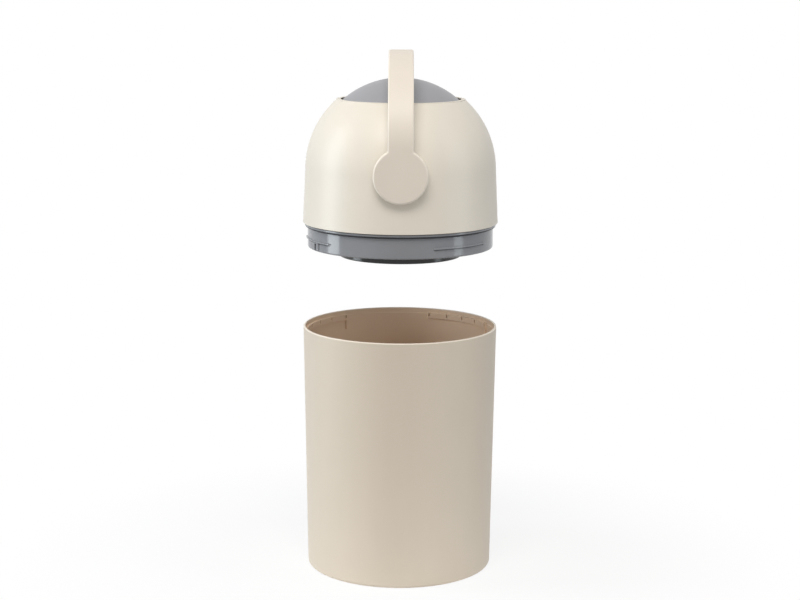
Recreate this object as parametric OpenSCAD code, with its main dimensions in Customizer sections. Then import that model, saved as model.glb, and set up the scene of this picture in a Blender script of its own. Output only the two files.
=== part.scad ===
// Diaper pail with a lift-off head, shown with its head raised above the bin.
// The head twists onto the bin on bayonet ribs. Its carrying handle is keyed to
// a hollow ball with one mouth, which turns between the top opening and the throat.
// Millimetres, +Z up, origin at the middle of the underside of the bin.

/* [Bin] */
// Outer diameter of the bin at its rim, and of the head's lower edge
rim_d = 230; // [225:1:260]
// Draft of the bin, on the radius from the rim to the foot
bin_draft = 4.7; // [2:0.1:8]
// Height of the bin
bin_h = 292; // [240:1:360]
// Thickness of the bin wall
bin_wall = 2.9; // [2.4:0.1:3]
// Thickness of the bin floor
bin_floor = 3; // [2:0.1:5]
// Outer rounding between the bin wall and its foot
foot_round = 3.4; // [2:0.1:8]
// Depth of the hollow under the floor, inside the foot ring
foot_hollow = 2; // [1:0.1:4]
// Width of the foot ring that the bin stands on
foot_ring_w = 10; // [6:0.5:20]
// Depth of the smooth band inside the rim, above the step
rim_band = 6; // [4:0.5:6.5]
// Depth of the step below that band
rim_step = 0.5; // [0.2:0.1:0.6]
// Radius of the rounding on the rim
rim_round = 1.1; // [0.4:0.1:1.2]

/* [Bayonet] */
// Angle at which each ledge in the bin starts, anticlockwise from the right
ledge_starts = [20, 126, 236]; // [0:1:359]
// Length of each ledge in the bin, in degrees
ledge_span = 52; // [45:1:54]
// Depth of the ledges' top edge below the rim
ledge_top = 7.6; // [7:0.1:8.5]
// Depth of the ledges' lower face below the rim
ledge_under = 12.4; // [11:0.1:12.6]
// Radial gap between the ledges and the collar wall
ledge_gap = 0.5; // [0.3:0.1:0.7]
// Number of grooves across each ledge
ledge_grooves = 4; // [2:1:6]
// Width of a groove across a ledge
groove_w = 1.5; // [0.8:0.1:2.5]
// Depth below the rim at which the stop ribs end
stop_end = 24; // [18:1:30]
// Width of a stop rib
stop_w = 2.2; // [1.5:0.1:4]
// Angle at which each rib on the collar starts
rib_starts = [76, 181, 290]; // [0:1:359]
// Length of each rib on the collar, in degrees
rib_span = 42; // [30:1:42]
// Thickness of a rib on the collar
rib_t = 1.6; // [1:0.1:2.2]
// Height of a rib on the collar above its wall
rib_h = 1.7; // [1.2:0.1:1.8]
// Play between a rib and the ledge that it locks under
rib_play = 0.9; // [0.4:0.1:1.5]

/* [Head shell] */
// Height at which the head is held above the bin, between the rim and the flange
lift = 121.4; // [60:0.2:200]
// Draft of the shell's straight wall, on the radius
shell_draft = 2.9; // [1:0.1:4]
// Height of the straight wall
belt_z = 62; // [58:1:66]
// Height of the crown's opening above the pivot
cut_rise = 78.5; // [74:0.5:82]
// Width of the ring between the ball and the edge of that opening
cut_gap = 7.8; // [7:0.1:9]
// Thickness of the shell
shell_wall = 2.8; // [2.2:0.1:3]

/* [Ball] */
// Gap between the ball and the shell's straight wall
ball_gap = 6.3; // [6:0.1:7]
// Depth of the ball's lowest point below the shell's lower edge
ball_dip = 37; // [35:0.5:38]
// Thickness of the ball's wall
ball_wall = 2.6; // [2:0.1:4]
// Diameter of the ball's mouth
mouth_d = 138; // [110:1:142]
// Thickness of the flat pad at each pole of the ball
pole_t = 3; // [2.5:0.1:5]
// Overlap of the two ball halves inside the seam
lap = 4; // [2:0.5:8]

/* [Handle] */
// Width of the strap
strap_w = 29; // [22:0.5:34]
// Thickness of the strap, liner included
strap_t = 6; // [5:0.1:8]
// Thickness of the liner on the inside of the strap
liner_t = 2; // [1.2:0.1:2.6]
// Margin of the liner inside the strap's edges
liner_inset = 2; // [1.6:0.1:3]
// Rounding of the strap's outer edges
strap_round = 1.7; // [0.5:0.1:2]
// Diameter of the pivot discs
disc_d = 62.4; // [52:0.2:66]
// Thickness of the pivot discs
disc_t = 8; // [7.5:0.1:12]
// Rounding of the discs' outer edge
disc_round = 2.4; // [1:0.1:3]
// Least gap between the back of a pivot disc and the shell
disc_gap = 0.9; // [0.5:0.1:2]
// Height of the finger gap between the ball and the strap
finger_gap = 26.4; // [20:0.2:45]
// Height above the pivot at which the strap starts to bend
leg_h = 30; // [24:1:50]

/* [Pivots] */
// Diameter of the axle journals
journal_d = 18; // [14:0.5:22]
// Running clearance of a journal in its bush, on the radius
journal_play = 0.05; // [0.02:0.01:0.1]
// Wall of the bushes
bush_wall = 2.5; // [1.5:0.1:4]
// Wall of the shell's boss round each bush
boss_wall = 3.5; // [2:0.1:5]
// Width of the square drive in the handle
drive_w = 11.8; // [8:0.2:12]
// Depth of the square drive in the handle
drive_depth = 5; // [3:0.1:5.2]
// Width of the square neck in the ball's pole
neck_w = 23.6; // [20:0.2:26]
// Diameter of the axle's outer flange
flange_d = 38; // [36:0.5:42]
// Diameter of the axle's inner flange
inner_flange_d = 42; // [40:0.5:44]
// Shank diameter of the handle screws
handle_screw_d = 4; // [3:0.5:5]
// Section diameter of the O-ring on each journal
o_ring_d = 2.3; // [1.6:0.1:2.6]
// Swing of the handle to each side, in degrees
swing = 90; // [60:1:90]
// Diameter of the pin on each axle that stops the swing
stop_pin_d = 2.4; // [1.8:0.1:2.6]

/* [Collar] */
// Drop of the flange's lower face below the shell's edge
flange_drop = 3; // [2.4:0.1:4]
// Open seam between the shell's edge and the flange
seam = 0.6; // [0.3:0.1:1]
// Step from the shell's edge in to the flange
flange_inset = 1.8; // [1:0.1:2.4]
// Gap between the collar and the bin's wall at the rim
collar_gap = 2.6; // [2.5:0.1:3.4]
// Thickness of the collar wall and deck
collar_wall = 2.6; // [2:0.1:3.4]
// Depth of the collar below the shell's edge
collar_h = 29; // [27:0.5:34]
// Height of the spigot that centres the collar in the shell
spigot_h = 8; // [5:0.5:12]
// Number of screws that hold the collar to the shell
collar_screw_n = 6; // [4:2:8]
// Shank diameter of the collar screws
collar_screw_d = 3.8; // [3:0.1:4.2]
// Length of the collar screws
collar_screw_l = 24; // [18:1:28]
// Diameter of the screw posts and pillars
post_d = 10; // [9.8:0.1:11]
// Height of the screw posts in the shell
post_h = 24; // [23:1:30]
// Angle at which the catch pad starts
pad_start = 195; // [183:1:205]
// Length of the catch pad, in degrees
pad_span = 16; // [10:1:20]
// Height of the catch pad
pad_h = 10.4; // [7:0.1:11]
// Height of the catch pad above the collar wall
pad_out = 1.4; // [0.8:0.1:1.8]

/* [Throat] */
// Outer diameter of the throat ring
throat_d = 144.4; // [140:0.2:146]
// Bore of the throat ring
throat_bore = 130; // [124:1:132]
// Drop of the throat ring below the collar
throat_drop = 11; // [9:0.5:18]
// Clearance round the throat ring in the deck
throat_play = 0.4; // [0.3:0.05:0.6]
// Inner diameter of the chute neck that carries the lower seal
chute_d = 145.2; // [143:0.2:147]
// Wall of the chute neck
chute_wall = 2.4; // [1.8:0.1:3.2]
// Height of the pillars under the chute's ears
pillar_h = 6; // [4:0.5:10]
// Number of screws that hold the chute to the deck
chute_screw_n = 4; // [3:1:8]

/* [Seals] */
// Running gap between a seal or a flange and what moves past it
run_gap = 0.35; // [0.3:0.05:0.6]
// Height of the top seal
top_seal_h = 9; // [5:0.5:14]
// Height of the lower seal
lower_seal_h = 3.9; // [2.5:0.1:6]
// Height of the gasket under the flange
gasket_h = 2.4; // [1.4:0.1:3]

/* [Hidden] */
$fn = 120;
small_fn = 40;
// Overlap between the shapes that make up one piece
eps = 0.01;

shell_colour = [0.93, 0.89, 0.82];
handle_colour = [0.90, 0.84, 0.77];
bin_colour = [0.80, 0.73, 0.64];
ball_colour = [0.62, 0.61, 0.64];
collar_colour = [0.50, 0.51, 0.54];
ring_colour = [0.20, 0.20, 0.22];
seal_colour = [0.30, 0.30, 0.32];
acetal_colour = [0.92, 0.92, 0.90];
steel_colour = [0.72, 0.73, 0.75];

rim_r = rim_d / 2;
foot_r = rim_r - bin_draft;
belt_r = rim_r - shell_draft;
ball_r = belt_r - shell_wall - ball_gap;
ball_d = 2 * ball_r;
mouth_r = mouth_d / 2;
disc_r = disc_d / 2;
journal_r = journal_d / 2;
post_r = post_d / 2;
collar_r = rim_r - bin_wall - collar_gap;
// Heights of the pivot and of the crown's opening above the shell's lower edge
pivot_z = ball_r - ball_dip;
cut_z = pivot_z + cut_rise;
cut_r = sqrt(ball_r * ball_r - cut_rise * cut_rise) + cut_gap;
// Height of the head's own origin, the shell's lower edge, above the ground
head_z = bin_h + lift + flange_drop;
// Height of the crown's ellipse above the straight wall, before the flat cut
crown_h = (cut_z - belt_z) / sqrt(1 - pow(cut_r / belt_r, 2));
// Radial clearance of a screw in its pilot hole, and in a hole that it passes through
pilot_play = 0.05;
pass_play = 0.25;
// Side clearance of a square drive or neck in its hole
square_play = 0.1;

function arc_points(x, y, r, from, to, n) =
    [for (i = [0:n]) let (a = from + (to - from) * i / n) [x + r * cos(a), y + r * sin(a)]];

// Outer radius of the bin at a height above its foot
function bin_r(z) = foot_r + (rim_r - foot_r) * z / bin_h;

// Outer and inner radius of the head shell at a height above its lower edge
function shell_out(z) = z <= belt_z
    ? rim_r + (belt_r - rim_r) * z / belt_z
    : belt_r * sqrt(1 - pow((z - belt_z) / crown_h, 2));
function shell_in(z) = z <= belt_z
    ? shell_out(z) - shell_wall
    : (belt_r - shell_wall) * sqrt(1 - pow((z - belt_z) / (crown_h - shell_wall), 2));

// Height on the underside of a sphere round the pivot, for a radius from the middle
function under_ball(r, ball) = pivot_z - sqrt(ball * ball - r * r);

// Moves a piece of the head from its own origin, the shell's lower edge, to its place
module on_head() { translate([0, 0, head_z]) children(); }

// Turns a piece drawn along +Z from the pivot so that it points out of the head's
// front, with its own +Y up, or gives its mirror image at the rear
module at_front() { translate([0, 0, pivot_z]) rotate([90, 0, 0]) children(); }
module at_rear() { mirror([0, 1, 0]) at_front() children(); }
module at_both() {
    at_front() children();
    at_rear() children();
}

// Repeats a piece round the head, at a radius and from a first angle
module around(n, r, first = 0) {
    for (i = [0:n - 1]) rotate([0, 0, first + 360 * i / n]) translate([r, 0, 0]) children();
}

// A ring sector whose section is given as points of radius and height
module ring_sector(from, span, section) {
    rotate([0, 0, from]) rotate_extrude(angle = span) polygon(section);
}

// A pan-head screw with a cross recess, driven from below: its head hangs under z = 0
module screw(d, head_h, length) {
    recess_w = 0.28 * d;
    recess_l = 1.1 * d;
    recess_h = 0.6 * head_h;
    difference() {
        translate([0, 0, -head_h]) cylinder(r = d, h = head_h, $fn = small_fn);
        for (a = [0, 90]) rotate([0, 0, a]) translate([-recess_w / 2, -recess_l / 2, -head_h - 1])
            cube([recess_w, recess_l, recess_h + 1]);
    }
    translate([0, 0, -eps]) cylinder(d = d, h = length + eps, $fn = small_fn);
}

// The bin: a tapered tub with a foot ring, and bayonet ledges inside the rim
ledge_r = collar_r + ledge_gap;
module bin_tub() {
    floor_round = 6;
    inner_rim_round = rim_round * 0.6;
    floor_z = foot_hollow + bin_floor;
    foot_in = foot_r - foot_round - foot_ring_w;
    inner_foot = bin_r(floor_z) - bin_wall;
    band_z = bin_h - rim_band;
    band_r = bin_r(band_z) - bin_wall;
    rotate_extrude() polygon(concat(
        [[0, foot_hollow], [foot_in - foot_hollow, foot_hollow], [foot_in, 0]],
        arc_points(foot_r - foot_round, foot_round, foot_round, -90, 0, 8),
        arc_points(rim_r - rim_round, bin_h - rim_round, rim_round, 0, 90, 5),
        arc_points(rim_r - bin_wall + rim_step + inner_rim_round, bin_h - inner_rim_round,
            inner_rim_round, 90, 180, 4),
        [[band_r + rim_step, band_z], [band_r, band_z - rim_step]],
        arc_points(inner_foot - floor_round, floor_z + floor_round, floor_round, 0, -90, 6),
        [[0, floor_z]]));
}
// A ledge that a collar rib turns under, grooved across, with a stop rib at its start
module ledge(start) {
    lead = 1;
    under = bin_h - ledge_under;
    top = bin_h - ledge_top;
    root = bin_r(under) - bin_wall / 2;
    face = bin_r(under) - bin_wall;
    difference() {
        ring_sector(start, ledge_span, [[ledge_r, under], [root, under],
            [root, top + (root - ledge_r) / 2], [ledge_r, top]]);
        for (i = [1:ledge_grooves])
            rotate([0, 0, start + ledge_span * i / (ledge_grooves + 1)])
                translate([ledge_r - lead, -groove_w / 2, under + lead])
                    cube([lead + (face - ledge_r) * 0.8, groove_w, ledge_under - ledge_top + 3 * lead]);
    }
    ring_sector(start, stop_w / ledge_r * 180 / PI, [[ledge_r, bin_h - stop_end],
        [root, bin_h - stop_end - lead], [root, under + lead], [ledge_r, under + lead]]);
}
module bin() {
    color(bin_colour) {
        bin_tub();
        for (start = ledge_starts) ledge(start);
    }
}

// The head shell: a dome cut flat at the top, with a bushed boss on each side, a stop
// round the upper half of each boss, and posts inside its lower edge for the screws
bush_wall_r = journal_r + journal_play + bush_wall;
bush_flange_t = 1.5;
bush_flange_w = 4.4;
boss_r = bush_wall_r + boss_wall;
// Distances from the middle of the head along the pivot axis
pole_flat = 2.4;
pole_y = ball_r - pole_flat;
flange_t = 2.5;
thrust_y = pole_y + flange_t;
boss_y = thrust_y + run_gap + bush_flange_t;
stop_r = flange_d / 2 - 0.2 - stop_pin_d / 2;
post_ring_r = collar_r - collar_wall - post_r - 0.2;
module dome_wall() {
    steps = 22;
    edge = 0.6;
    lip = 1.2;
    rotate_extrude() polygon(concat(
        [[rim_r - shell_wall, 0], [rim_r - edge, 0], [rim_r, edge]],
        [for (i = [0:steps]) let (z = belt_z + (cut_z - lip - belt_z) * sin(90 * i / steps))
            [shell_out(z), z]],
        [[shell_out(cut_z) - lip, cut_z], [shell_in(cut_z) + edge, cut_z]],
        [for (i = [0:steps]) let (z = belt_z + (cut_z - edge - belt_z) * cos(90 * i / steps))
            [shell_in(z), z]]));
}
module pivot_boss() {
    stop_angle = swing - 90 + asin(stop_pin_d / 2 / stop_r) + 0.5;
    stop_out = flange_d / 2;
    translate([0, 0, boss_y]) cylinder(r = boss_r, h = belt_r - shell_wall - boss_y + 0.6);
    ring_sector(stop_angle, 180 - 2 * stop_angle, [[boss_r - 1, boss_y], [stop_out, boss_y],
        [stop_out, shell_in(pivot_z + stop_out) + 0.6], [boss_r - 1, shell_in(pivot_z + stop_out) + 0.6]]);
}
module pivot_hole() {
    translate([0, 0, boss_y - 1]) cylinder(r = bush_wall_r, h = rim_r - boss_y);
}
module dome_shell() {
    web = 2.4;
    web_z = spigot_h + run_gap;
    color(shell_colour) on_head() difference() {
        union() {
            dome_wall();
            at_both() pivot_boss();
            around(collar_screw_n, post_ring_r) {
                cylinder(r = post_r, h = post_h, $fn = small_fn);
                translate([post_r - 1, -web / 2, web_z])
                    cube([shell_in(post_h) + 2 - post_ring_r - post_r, web, post_h - web_z]);
            }
        }
        at_both() pivot_hole();
        around(collar_screw_n, post_ring_r) translate([0, 0, -1])
            cylinder(r = collar_screw_d / 2 + pilot_play, h = post_h - 2, $fn = small_fn);
    }
}

// The top seal: a soft wiper bonded inside the crown, just clear of the ball
module top_seal() {
    steps = 6;
    high = cut_z - 3;
    low = high - top_seal_h;
    bond = 0.1;
    reach = ball_r + run_gap;
    color(seal_colour) on_head() rotate_extrude() polygon(concat(
        [for (i = [0:steps]) let (z = low + top_seal_h * i / steps) [shell_in(z) - bond, z]],
        [for (i = [0:steps]) let (z = high - 1 - (top_seal_h - 3) * i / steps)
            [sqrt(reach * reach - pow(z - pivot_z, 2)), z]]));
}

// The bushes: flanged sleeves pressed into the shell's bosses from inside
module bush() {
    press = 0.03;
    difference() {
        union() {
            translate([0, 0, boss_y - bush_flange_t])
                cylinder(r = bush_wall_r + bush_flange_w, h = bush_flange_t);
            translate([0, 0, boss_y - eps]) cylinder(r = bush_wall_r - press, h = belt_r - boss_y);
        }
        translate([0, 0, thrust_y]) cylinder(r = journal_r + journal_play, h = rim_r - thrust_y);
    }
}
module front_bush() { color(acetal_colour) on_head() at_front() bush(); }
module rear_bush() { color(acetal_colour) on_head() at_rear() bush(); }

// The ball: two mouldings that meet in the plane of the pivot axis. The bowl is the
// closed half, and the other half has the mouth. Both have a flat pad at each pole
// and close round the square necks of the axles there
pad_r = sqrt(ball_r * ball_r - pole_y * pole_y) - 0.2;
ball_in = ball_r - ball_wall;
module half_ball() {
    intersection() {
        difference() {
            circle(r = ball_r);
            circle(r = ball_in);
        }
        square([ball_d, ball_d]);
    }
}
module ball_half(side) {
    difference() {
        union() {
            intersection() {
                rotate([0, side * 90, 0]) rotate_extrude() children();
                cube([ball_d + 2, 2 * pole_y, ball_d + 2], center = true);
            }
            for (end = [-90, 90]) intersection() {
                rotate([end, 0, 0]) translate([0, 0, pole_y - pole_t]) cylinder(r = pad_r, h = pole_t);
                translate([side * ball_d, 0, 0]) cube(2 * ball_d, center = true);
            }
        }
        cube([neck_w + 2 * square_play, ball_d, neck_w + 2 * square_play], center = true);
    }
}
// The bowl's inner lip, which enters the other half across the seam
module seam_lip() {
    lip_t = 1.6;
    root = 3;
    difference() {
        rotate([0, 90, 0]) rotate_extrude() polygon([[ball_in - lip_t, -lap], [ball_in - 0.2, -lap],
            [ball_in - 0.1, 0], [ball_in + 0.6, 0], [ball_in + 0.5, root], [ball_in - lip_t, root]]);
        rotate([90, 0, 0]) cylinder(r = pad_r + 4, h = 2 * ball_d, center = true);
    }
}
module ball_bowl() {
    color(ball_colour) on_head() translate([0, 0, pivot_z]) {
        ball_half(1) half_ball();
        seam_lip();
    }
}
// The half with the mouth: its wall ends in a thicker lip that stiffens the edge
module ball_mouth() {
    lip_w = 3;
    lip_in = ball_in - 1.4;
    color(ball_colour) on_head() translate([0, 0, pivot_z]) ball_half(-1) intersection() {
        union() {
            half_ball();
            difference() {
                circle(r = ball_r - 0.6);
                circle(r = lip_in);
                translate([mouth_r + lip_w, -ball_d]) square(2 * ball_d);
            }
        }
        translate([mouth_r, 0]) square([ball_d, ball_d]);
    }
}

// The axles: each is trapped in a pole of the ball by its two flanges, runs in the
// shell's bush, and ends in a square in the handle. A pin on its outer flange meets
// the stop on the shell at each end of the swing
disc_y = shell_out(pivot_z - disc_r) + disc_gap;
face_y = disc_y + disc_t;
screw_seat_y = pole_y + 1;
inner_flange_t = 3;
o_ring_y = boss_y + 3;
module axle() {
    difference() {
        union() {
            translate([0, 0, pole_y - pole_t - inner_flange_t])
                cylinder(d = inner_flange_d, h = inner_flange_t);
            translate([-neck_w / 2, -neck_w / 2, pole_y - pole_t - eps])
                cube([neck_w, neck_w, pole_t + 2 * eps]);
            translate([0, 0, pole_y]) cylinder(d = flange_d, h = flange_t);
            translate([0, 0, thrust_y - eps]) cylinder(r = journal_r, h = disc_y - thrust_y + eps);
            translate([-drive_w / 2, -drive_w / 2, disc_y - eps])
                cube([drive_w, drive_w, drive_depth + eps]);
            translate([0, -stop_r, thrust_y - eps])
                cylinder(d = stop_pin_d, h = boss_y + 1.8 - thrust_y, $fn = small_fn);
        }
        cylinder(r = handle_screw_d / 2 + pass_play, h = ball_d, $fn = small_fn);
        cylinder(r = handle_screw_d + pass_play, h = screw_seat_y, $fn = small_fn);
        translate([0, 0, o_ring_y]) rotate_extrude()
            translate([journal_r - o_ring_d / 2, 0]) square([o_ring_d, o_ring_d], center = true);
    }
}
module front_axle() { color(acetal_colour) on_head() at_front() axle(); }
module rear_axle() { color(acetal_colour) on_head() at_rear() axle(); }

// The O-rings: one in a groove of each journal, against smells and as a light brake
module axle_o_rings() {
    o_r = o_ring_d / 2 - pilot_play;
    color(seal_colour) on_head() at_both() translate([0, 0, o_ring_y])
        rotate_extrude() translate([journal_r - o_r, 0]) circle(r = o_r, $fn = 24);
}

// The handle: a strap arched over the ball from one pivot disc to the other. Its
// outer skin and the discs are one moulding, and the liner closes it from inside
arch_steps = 40;
arch_rise = ball_r + finger_gap + strap_t - leg_h;
leg_root = disc_r - 8;
hub_d = drive_w * sqrt(2) + 6;
plate_t = 2.2;
plate_margin = 2.6;
// Points of the strap's outer face in the plane of the arch, with the outward direction
function arch_frames() = concat(
    [[[-face_y, leg_root], [-1, 0]]],
    [for (i = [0:arch_steps]) let (a = 180 - 180 * i / arch_steps)
        [[face_y * cos(a), leg_h + arch_rise * sin(a)],
         let (n = [arch_rise * cos(a), face_y * sin(a)]) n / norm(n)]],
    [[[face_y, leg_root], [1, 0]]]);
// Section of the strap: across it, and depth below its outer face
function strap_section(w, top, bottom, round) = concat(
    arc_points(w / 2 - round, -top - round, round, 0, 90, 3),
    arc_points(-w / 2 + round, -top - round, round, 90, 180, 3),
    [[-w / 2, -bottom], [w / 2, -bottom]]);
// Skin over a row of closed sections, with a cap at each end
module swept(sections) {
    rings = len(sections);
    count = len(sections[0]);
    polyhedron(
        points = [for (s = sections, p = s) p],
        faces = concat(
            [[for (j = [count - 1:-1:0]) j]],
            [for (i = [0:rings - 2], j = [0:count - 1]) let (k = (j + 1) % count)
                [i * count + k, (i + 1) * count + k, (i + 1) * count + j, i * count + j]],
            [[for (j = [0:count - 1]) (rings - 1) * count + j]]));
}
module strap(w, top, bottom, round) {
    section = strap_section(w, top, bottom, round);
    swept([for (f = arch_frames()) [for (s = section)
        [s[0], f[0][0] + f[1][0] * s[1], f[0][1] + f[1][1] * s[1]]]]);
}
module disc_body() {
    back_edge = 0.6;
    rotate_extrude() polygon(concat(
        [[0, disc_y], [disc_r - back_edge, disc_y], [disc_r, disc_y + back_edge]],
        arc_points(disc_r - disc_round, face_y - disc_round, disc_round, 0, 90, 6),
        [[0, face_y]]));
}
// Hollow of a disc from behind, which leaves its skin, its hub and four ribs
module disc_pocket() {
    skin = 2.6;
    rib = 1.8;
    difference() {
        translate([0, 0, disc_y - 1]) cylinder(r = disc_r - plate_margin, h = disc_t - skin + 1);
        translate([0, 0, disc_y - 2]) cylinder(d = hub_d, h = disc_t + 4);
        for (a = [45:90:315]) rotate([0, 0, a])
            translate([drive_w / 2, -rib / 2, disc_y + plate_t]) cube([disc_d, rib, disc_t]);
    }
}
module drive_socket() {
    socket_w = drive_w + 2 * square_play;
    translate([-socket_w / 2, -socket_w / 2, disc_y - 1])
        cube([socket_w, socket_w, drive_depth + 1.2]);
    cylinder(r = handle_screw_d / 2 + pilot_play, h = face_y - 1.1, $fn = small_fn);
}
module handle() {
    color(handle_colour) on_head() difference() {
        union() {
            translate([0, 0, pivot_z]) strap(strap_w, 0, strap_t - liner_t, strap_round);
            at_both() disc_body();
        }
        at_both() disc_pocket();
        at_both() drive_socket();
    }
}
module handle_liner() {
    color(handle_colour) on_head() translate([0, 0, pivot_z]) difference() {
        strap(strap_w - 2 * liner_inset, strap_t - liner_t, strap_t, 0.4);
        rotate([90, 0, 0]) cylinder(r = disc_r + 0.05, h = 2 * face_y + 10, center = true);
    }
}

// The disc plates: each closes the back of a pivot disc round its hub
module disc_plates() {
    color(handle_colour) on_head() at_both() difference() {
        translate([0, 0, disc_y + square_play])
            cylinder(r = disc_r - plate_margin - square_play, h = plate_t - square_play);
        translate([0, 0, disc_y - 1]) cylinder(r = hub_d / 2 + square_play, h = plate_t + 2);
    }
}

// The handle screws: driven from inside the ball, through each axle into its disc
module handle_screws() {
    color(steel_colour) on_head() at_both() translate([0, 0, screw_seat_y])
        screw(handle_screw_d, 3.2, face_y - 1.4 - screw_seat_y);
}

// The collar: flange, wall and deck in one moulding, with the bayonet ribs and a
// slotted catch pad outside, and pillars for the shell's and the chute's screws inside
rib_top = flange_drop + ledge_under + rib_play + run_gap;
deck_z = collar_wall - collar_h;
throat_wall = 2.9;
deck_hole_r = throat_bore / 2 + throat_wall + throat_play;
collar_seat_z = -9;
chute_in = chute_d / 2;
chute_out = chute_in + chute_wall;
chute_top = under_ball(chute_out, ball_r + run_gap) - lower_seal_h;
chute_screw_d = 3;
ear_r = 4.5;
ear_t = 2;
chute_screw_r = chute_out + ear_r + 0.5;
chute_screw_first = 180 / chute_screw_n;
module collar_body() {
    spigot_r = shell_in(spigot_h) - 0.3;
    spigot_t = 2.2;
    inner_r = collar_r - collar_wall;
    flange_r = rim_r - flange_inset;
    edge = 0.5;
    foot_edge = 1.6;
    rotate_extrude() polygon([[deck_hole_r, -collar_h], [collar_r - foot_edge, -collar_h],
        [collar_r - foot_edge / 4, -collar_h + foot_edge / 3], [collar_r, -collar_h + foot_edge],
        [collar_r, -flange_drop], [flange_r - edge, -flange_drop], [flange_r, -flange_drop + edge],
        [flange_r, -seam - edge], [flange_r - edge, -seam], [spigot_r, -seam],
        [spigot_r, spigot_h - 1], [spigot_r - 0.8, spigot_h], [spigot_r - spigot_t, spigot_h],
        [spigot_r - spigot_t, -seam - 1.6], [inner_r, -flange_drop - 2], [inner_r, deck_z],
        [deck_hole_r, deck_z]]);
}
module collar() {
    rib_r = collar_r + rib_h;
    slot_w = 1.8;
    pad_edge_r = collar_r + pad_out;
    pad_low = -collar_h + 0.2;
    root_r = collar_r - 1;
    color(collar_colour) on_head() difference() {
        union() {
            collar_body();
            for (start = rib_starts) ring_sector(start, rib_span, [[root_r, -rib_top - rib_t - 0.6],
                [rib_r, -rib_top - rib_t], [rib_r, -rib_top], [root_r, -rib_top]]);
            ring_sector(pad_start, pad_span, [[root_r, pad_low + 1], [pad_edge_r, pad_low + 2],
                [pad_edge_r, pad_low + pad_h], [root_r, pad_low + pad_h + 0.6]]);
            around(collar_screw_n, post_ring_r) translate([0, 0, deck_z - eps])
                cylinder(r = post_r, h = -deck_z + eps, $fn = small_fn);
            around(chute_screw_n, chute_screw_r, chute_screw_first) translate([0, 0, deck_z - eps])
                cylinder(r = chute_screw_d, h = pillar_h + eps, $fn = small_fn);
        }
        around(collar_screw_n, post_ring_r) translate([0, 0, -collar_h]) {
            translate([0, 0, -1])
                cylinder(r = collar_screw_d + pass_play, h = collar_h + collar_seat_z + 1, $fn = small_fn);
            cylinder(r = collar_screw_d / 2 + pass_play, h = collar_h + 1, $fn = small_fn);
        }
        around(chute_screw_n, chute_screw_r, chute_screw_first) translate([0, 0, deck_z + 0.5])
            cylinder(r = chute_screw_d / 2 + pilot_play, h = pillar_h, $fn = small_fn);
        rotate([0, 0, pad_start + pad_span - 3])
            translate([collar_r + 0.2, -slot_w / 2, pad_low + 1.5]) cube([4, slot_w, pad_h - 3]);
    }
}

// The gasket: a soft ring under the flange that closes on the bin's rim
module rim_gasket() {
    outer = rim_r - bin_wall + rim_step - throat_play;
    color(seal_colour) on_head() rotate_extrude() polygon([[collar_r, -flange_drop],
        [outer, -flange_drop], [outer, -flange_drop - gasket_h / 2],
        [collar_r, -flange_drop - gasket_h]]);
}

// The collar screws: in the pillars from below, up into the shell's posts
module collar_screws() {
    color(steel_colour) on_head() around(collar_screw_n, post_ring_r)
        translate([0, 0, collar_seat_z]) screw(collar_screw_d, 2.6, collar_screw_l);
}

// The chute: a neck on the deck that holds the lower seal against the ball, screwed
// down by its ears
module chute() {
    foot_w = 2;
    ear_z = deck_z + pillar_h;
    color(collar_colour) on_head() difference() {
        union() {
            rotate_extrude() polygon([[chute_in, deck_z], [chute_out + foot_w, deck_z],
                [chute_out + foot_w, deck_z + foot_w / 2], [chute_out, deck_z + 1.5 * foot_w],
                [chute_out, chute_top], [chute_in, chute_top]]);
            around(chute_screw_n, chute_screw_r, chute_screw_first) translate([0, 0, ear_z]) {
                cylinder(r = ear_r, h = ear_t, $fn = small_fn);
                translate([chute_in + 1 - chute_screw_r, -ear_r, 0])
                    cube([chute_screw_r - chute_in - 1, 2 * ear_r, ear_t]);
            }
        }
        around(chute_screw_n, chute_screw_r, chute_screw_first) translate([0, 0, ear_z - 1])
            cylinder(r = chute_screw_d / 2 + pass_play, h = ear_t + 2, $fn = small_fn);
    }
}
module chute_screws() {
    color(steel_colour) on_head() around(chute_screw_n, chute_screw_r, chute_screw_first)
        translate([0, 0, deck_z + pillar_h + ear_t]) mirror([0, 0, 1])
            screw(chute_screw_d, 2, ear_t + pillar_h - 1);
}

// The lower seal: a soft ring on the chute's neck, just clear of the ball
module lower_seal() {
    reach = ball_r + run_gap;
    mid = chute_in + chute_wall / 2;
    color(seal_colour) on_head() rotate_extrude() polygon([[chute_in, chute_top],
        [chute_out, chute_top], [chute_out, under_ball(chute_out, reach)],
        [mid, under_ball(mid, reach)], [chute_in, under_ball(chute_in, reach)]]);
}

// The throat ring: hangs in the deck by its inner lip, free to turn, so that a bag
// gathered in its lower groove stays still while the head is twisted on or off
module throat_ring() {
    bore_r = throat_bore / 2;
    neck_r = bore_r + throat_wall;
    outer_r = throat_d / 2;
    lip_t = 1.8;
    lip_w = 2.6;
    edge = 0.8;
    skirt_t = 2.4;
    lip_z = deck_z + run_gap;
    low = -collar_h - throat_drop;
    shoulder = -collar_h - run_gap;
    groove_top = shoulder - 2.6;
    color(ring_colour) on_head() rotate_extrude() polygon([[bore_r, low + edge], [bore_r + edge, low],
        [neck_r - 0.4, low], [neck_r - 0.4, groove_top], [outer_r - skirt_t, groove_top],
        [outer_r - skirt_t, low], [outer_r - edge, low], [outer_r - edge / 4, low + edge / 4],
        [outer_r, low + edge], [outer_r, shoulder], [neck_r, shoulder], [neck_r, lip_z],
        [neck_r + lip_w, lip_z], [neck_r + lip_w - 0.6, lip_z + lip_t], [bore_r + edge, lip_z + lip_t],
        [bore_r, lip_z + lip_t - edge]]);
}

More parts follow.
